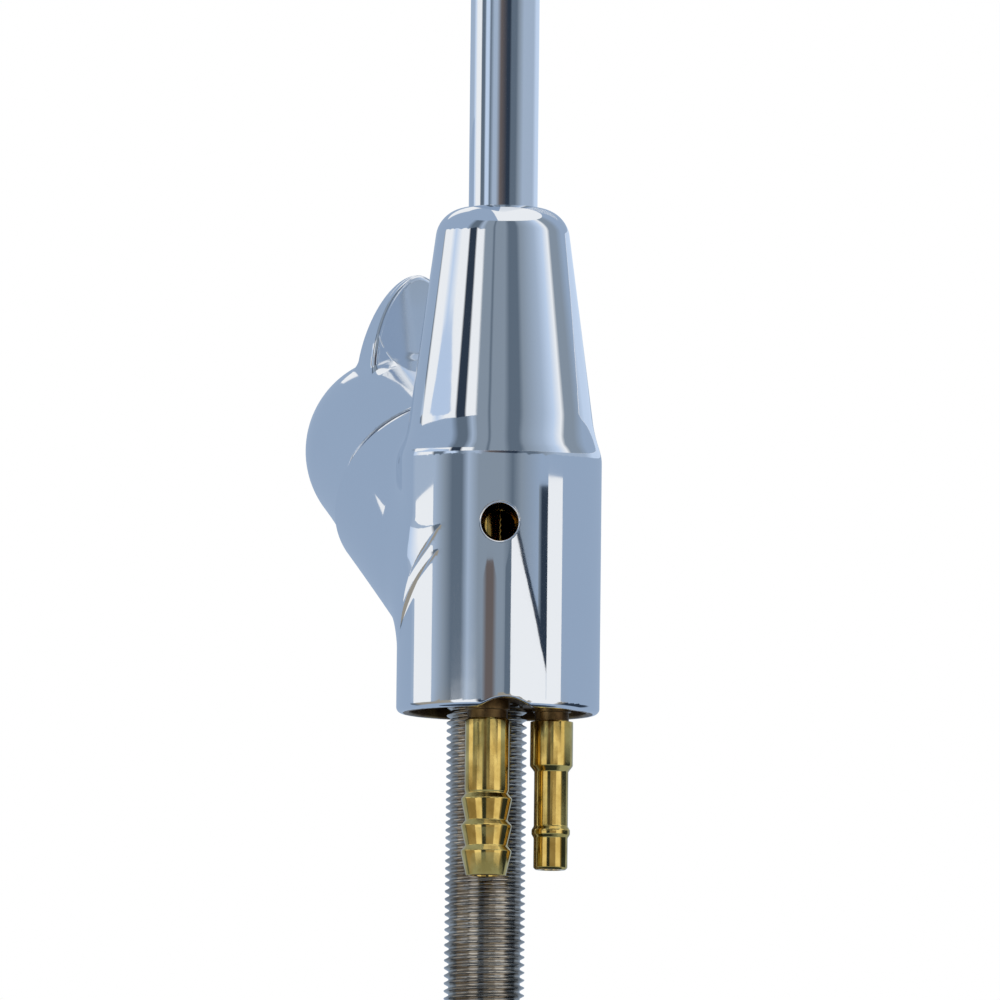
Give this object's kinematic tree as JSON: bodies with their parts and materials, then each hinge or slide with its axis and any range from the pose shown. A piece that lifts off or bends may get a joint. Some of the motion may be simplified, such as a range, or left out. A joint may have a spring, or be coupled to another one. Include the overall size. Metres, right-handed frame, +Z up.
{
  "type": "drinking water faucet",
  "caption": "Slim chrome drinking water faucet with a cone-topped body, gooseneck spout, inclined side valve with a domed lever cap, air gap hole and threaded shank with hose barbs.",
  "frame": {"origin": "on the body's axis, in the plane of the rim that stands on the deck", "axes": "+Z up the body axis, -Y towards the user and the spout's outlet, +Y through the air gap hole"},
  "size_m": [0.0413, 0.1388, 0.2967],
  "materials": {
    "chrome": "bright chrome plate",
    "brass": "bare machined brass",
    "steel": "dull nickel plate",
    "rubber": "black nitrile",
    "ceramic": "ground white ceramic"
  },
  "bodies": {
    "faucet": {"body": "chrome", "core": "brass", "core_gasket": "rubber", "shank": "steel", "drain_barb": "brass", "feed_barb": "brass", "riser": "brass", "seat_seal": "rubber", "fixed_disc": "ceramic", "cartridge": "brass", "cartridge_ring": "rubber", "bonnet_nut": "brass"},
    "handle": {"handle": "chrome", "set_screw": "steel", "stem": "brass", "stem_ring": "rubber", "turning_disc": "ceramic"},
    "spout": {"spout": "chrome", "spout_nipple": "brass", "spout_ring_low": "rubber", "spout_ring_high": "rubber", "spout_clip": "steel"}
  },
  "joints": [
    {"name": "handle_turn", "type": "hinge", "parent": "faucet", "child": "handle", "pos_m": [0, 0, 0.0188], "axis": [0.3892, -0.732, 0.5592], "range_deg": [0, 90]},
    {"name": "spout_swivel", "type": "hinge", "parent": "faucet", "child": "spout", "pos_m": [0, 0, 0.07], "axis": [0, 0, 1], "continuous": true}
  ]
}
